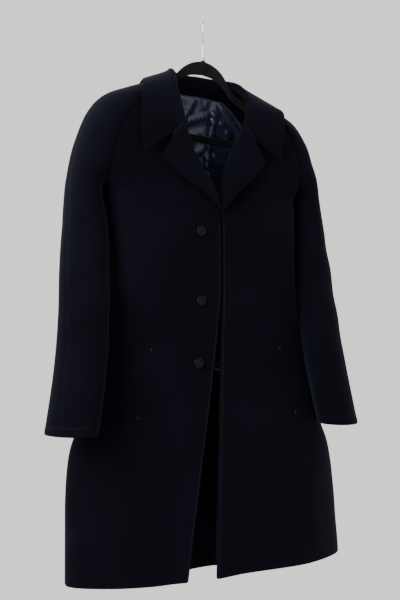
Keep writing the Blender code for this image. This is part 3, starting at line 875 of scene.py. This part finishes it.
def stitches(name, line, side, slide=SIDE_SLIDE):
    """A line of sunk pick stitches along a run of points, as one mesh."""
    line = hung(np.array(line) * [side, 1, 1], slide)
    count = int(run_of(line)[-1] / STITCH_PITCH)
    ends = even(line, count * 2 + 1)
    mesh = bpy.data.meshes.new(name)
    bm = bmesh.new()
    for a, b in zip(ends[:-1:2], ends[1::2]):
        middle, way = (a + b) / 2, (b - a) / max(np.linalg.norm(b - a), 1e-9)
        flat = np.cross(way, BACKWARDS)
        flat = flat / max(np.linalg.norm(flat), 1e-9)
        proud = np.cross(flat, way)
        ring = [bm.verts.new(middle + flat * x + proud * y)
                for x, y in ((.0003, 0), (0, .00022), (-.0003, 0), (0, -.00022))]
        tips = [bm.verts.new(middle - way * STITCH_LONG / 2),
                bm.verts.new(middle + way * STITCH_LONG / 2)]
        for k in range(4):
            bm.faces.new((ring[k], ring[(k + 1) % 4], tips[0]))
            bm.faces.new((ring[(k + 1) % 4], ring[k], tips[1]))
    bmesh.ops.recalc_face_normals(bm, faces=bm.faces)
    bm.to_mesh(mesh)
    bm.free()
    mesh.materials.append(THREAD_MAT)
    return linked(name, mesh)


# ---------------------------------------------------------------- hardware

def turned(name, profile, mat, steps=48):
    """A profile of (radius, height) turned about Z, closed at both ends."""
    mesh = bpy.data.meshes.new(name)
    bm = bmesh.new()
    verts = [bm.verts.new((r, 0, z)) for r, z in profile]
    edges = [bm.edges.new(pair) for pair in zip(verts, verts[1:])]
    bmesh.ops.spin(bm, geom=verts + edges, axis=UP, cent=(0, 0, 0), steps=steps, angle=2 * math.pi,
                   use_merge=True)
    bmesh.ops.remove_doubles(bm, verts=bm.verts, dist=1e-6)
    bmesh.ops.recalc_face_normals(bm, faces=bm.faces)
    bm.to_mesh(mesh)
    bm.free()
    mesh.materials.append(mat)
    mesh.shade_smooth()
    return linked(name, mesh)


def button(node, body):
    """A turned button with a raised rim and four thread-sewn holes."""
    low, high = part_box(node)
    centre = (Vector(low) + Vector(high)) / 2
    rim = [(0, -.0015), (.0090, -.0015), (.0106, -.0006), (.0110, .0004), (.0106, .0015), (.0096, .0018),
           (.0086, .0014), (.0078, .0006), (.0030, .0004), (0, .0004)]
    hole_edge = [(.0007, .0004), (.0009, .0008), (.0013, .0007), (.0014, .0003)]
    stalk = [(0, -.0052), (.0016, -.0052), (.0013, -.0030), (.0015, -.0014), (0, -.0014)]
    pieces = [turned(f"{node}_disc", rim, HORN_MAT)]
    for k in range(4):
        a = math.radians(45 + 90 * k)
        x, y = HOLE_REACH * math.cos(a), HOLE_REACH * math.sin(a)
        eyelet = turned(f"{node}_eye_{k}", hole_edge, HORN_MAT, 14)
        eyelet.location = (x, y, 0)
        pieces.append(eyelet)
        if k % 2:
            continue
        # Three strands cross from every other hole to the next one
        next_x, next_y = HOLE_REACH * math.cos(a + math.pi / 2), HOLE_REACH * math.sin(a + math.pi / 2)
        for n in range(3):
            shift = (n - 1) * .0004
            line = [(x + shift, y, .0003), ((x + next_x) / 2 + shift, (y + next_y) / 2, .0013),
                    (next_x + shift, next_y, .0003)]
            pieces.append(tube(f"{node}_thread_{k}_{n}", spline(line, 9), .00022, THREAD_MAT, 2))
    shank = turned(f"{node}_shank", stalk, THREAD_MAT, 16)
    made = joined(f"{node}_sewn", [*pieces, shank])
    made.rotation_euler = (math.radians(90), 0, 0)
    made.location = (centre.x, centre.y - .0010, centre.z)
    worn(made, "horn", node, body=body)


def arm_top(x):
    """The height of the hanger's upper edge, before it tilts."""
    return float(np.interp(x, [0, .012, .03, .048, .066, .08, .10, .15, .20, ARM_REACH],
                           [-.0925, -.0937, -.1005, -.114, -.137, -.151, -.160, -.180, -.2045, -.2130]))


def hanger():
    """The flocked moulding: a rounded outline with its opening, and the boss at its crown."""
    stations = (0, .012, .03, .048, .066, .08, .10, .15, .175, .20, ARM_REACH - .002)
    outer = [(x, arm_top(x) - PLATE_ROUND) for x in stations]
    outer += [(ARM_REACH + .0014, -.224), (ARM_REACH - .0016, -.247), (.199, -.2615), (.17, -.2679)]
    hole = [(0, -.1201), (.03, -.1251), (.055, -.1396), (.08, -.1646), (.15, -.1976), (.191, -.2180),
            (.2014, -.2285), (.2004, -.2415), (.191, -.2500), (.16, -.2559)]
    curve = bpy.data.curves.new("hanger_flocked", "CURVE")
    curve.dimensions = "2D"
    curve.fill_mode = "BOTH"
    curve.extrude = PLATE / 2 - PLATE_ROUND
    curve.bevel_depth = PLATE_ROUND
    curve.bevel_resolution = 4
    for half in (outer, hole):
        points = half + [(-x, z) for x, z in half[::-1] if x > 0]
        ring = np.array([*points, points[0]], float)
        ring = even(catmull(ring, 5), 180)[:-1]
        line = curve.splines.new("POLY")
        line.points.add(len(ring) - 1)
        for point, (x, z) in zip(line.points, ring):
            point.co = (x, z, 0, 1)
        line.use_cyclic_u = True
    plate = linked("hanger_flocked", curve)
    about = Matrix.Translation((0, 0, TILT_CENTRE_Z))
    plate.matrix_world = (about @ Matrix.Rotation(HANGER_TILT, 4, "Y") @ about.inverted()
                          @ Matrix.Rotation(math.radians(90), 4, "X"))
    plate = settle(plate, FLOCK_MAT)
    boss = turned("hanger_boss", [(0, -.1165), (.0046, -.1165), (.0055, -.1150), (.0055, -.0930),
                                  (.0046, -.0908), (0, -.0908)], FLOCK_MAT)
    worn(joined("hanger_flocked", [plate, boss]), "flock", "hanger_body")
    cone = turned("swivel_cone", [(.0022, -.0830), (.0029, -.0830), (.0033, -.0845), (.0044, -.0885),
                                  (.0048, -.0902), (.0022, -.0902), (.0022, -.0830)], CHROME_MAT)
    worn(cone, "chrome", "swivel_collar")


def hook():
    """The bent wire: a straight end with a round tip, the throat's arc, the neck and the shank."""
    around = HOOK_R + WIRE_R
    neck = [(-around, -HOOK_R), (-.0185, -.0290), (-.0105, -.0385), (-.0030, -.0465), (0, -.0560)]
    flat = [(around, -.034), (around, -.0265)]
    flat += [(around * math.cos(a), -HOOK_R + around * math.sin(a)) for a in np.linspace(0, math.pi, 49)]
    flat += [(u, z) for u, z in spline(neck, 24)[1:]]
    flat += [(0, -.0700), (0, -.1092)]
    wire = [(u * math.cos(HOOK_TURN), u * math.sin(HOOK_TURN), z) for u, z in flat]
    body = tube("hook_wire", wire, WIRE_R, CHROME_MAT, 8)
    tip_profile = [(0, -.00175), (.0012, -.0013), (.00178, 0), (.0018, .0014), (0, .0014)]
    tip = turned("hook_tip", tip_profile, CHROME_MAT, 24)
    tip.location = wire[0]
    worn(joined("hook_wire", [body, tip]), "chrome", "hook", body="hook")
    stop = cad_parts["hook_stop"]
    stop.data.materials.clear()
    stop.data.materials.append(CHROME_MAT)


# ---------------------------------------------------------------- stage

def area_light(name, place, size, power, colour=(1, 1, 1)):
    """A soft rectangular light that faces the coat."""
    light = bpy.data.lights.new(name, "AREA")
    light.shape = "RECTANGLE"
    light.size, light.size_y = size
    light.energy = power
    light.color = colour
    obj = linked(name, light)
    obj.location = place
    obj.rotation_euler = (Vector(COAT_MIDDLE) - Vector(place)).to_track_quat("-Z", "Y").to_euler()


def stage():
    """A pale floor, an even pale room, a wide light like a window, and two weak ones."""
    bpy.ops.mesh.primitive_circle_add(vertices=96, radius=1.75, fill_type="NGON",
                                      location=(0, 0, FLOOR_Z))
    floor = bpy.context.object
    floor.name = "studio_floor"
    paint = Nodes("pale_floor", .8)
    paint.ramp(paint.noise(3), [(.3, (.52, .52, .51)), (.7, (.57, .57, .56))], "Base Color")
    floor.data.materials.append(paint.mat)
    world = bpy.data.worlds.new("studio")
    world.use_nodes = True
    world.node_tree.nodes["Background"].inputs["Color"].default_value = (.600, .600, .590, 1)
    world.node_tree.nodes["Background"].inputs["Strength"].default_value = 2.0
    bpy.context.scene.world = world
    area_light("window", (-2.6, -1.3, .5), (1.6, 2.2), 182, (1, .98, .97))
    area_light("fill", (1.6, -2.6, .4), (1.6, 2.0), 4)
    area_light("behind", (.8, 2.4, .9), (1.6, 1.6), 26)


def camera():
    """Level, and looking at the coat from its right."""
    data = bpy.data.cameras.new("photo_camera")
    data.lens = CAMERA_LENS
    data.sensor_width = 36
    obj = linked("photo_camera", data)
    ahead = Vector((-math.sin(CAMERA_AZIMUTH), math.cos(CAMERA_AZIMUTH), 0))
    right = Vector((ahead.y, -ahead.x, 0))
    obj.location = -ahead * CAMERA_DISTANCE - right * CAMERA_ASIDE + Vector((0, 0, CAMERA_Z))
    obj.rotation_euler = (math.radians(90), 0, CAMERA_AZIMUTH)
    bpy.context.scene.camera = obj


camera()
stage()
for SIDE, TAG in ((1, "left"), (-1, "right")):
    front_cloth(SIDE, TAG)
    back_cloth(SIDE, TAG)
    sleeve(SIDE, TAG)
    shoulder_pad(SIDE, TAG)
    lapel(SIDE, TAG)
    back_lining(SIDE, TAG)
    front_inside(SIDE, TAG)
    pocket(SIDE, TAG)
collar()
neck_yoke()
vent_flap()
fly_layer()
button("button_1", "coat")
button("button_2", "skirt_right")
button("button_3", "skirt_right")
hanger()
hook()
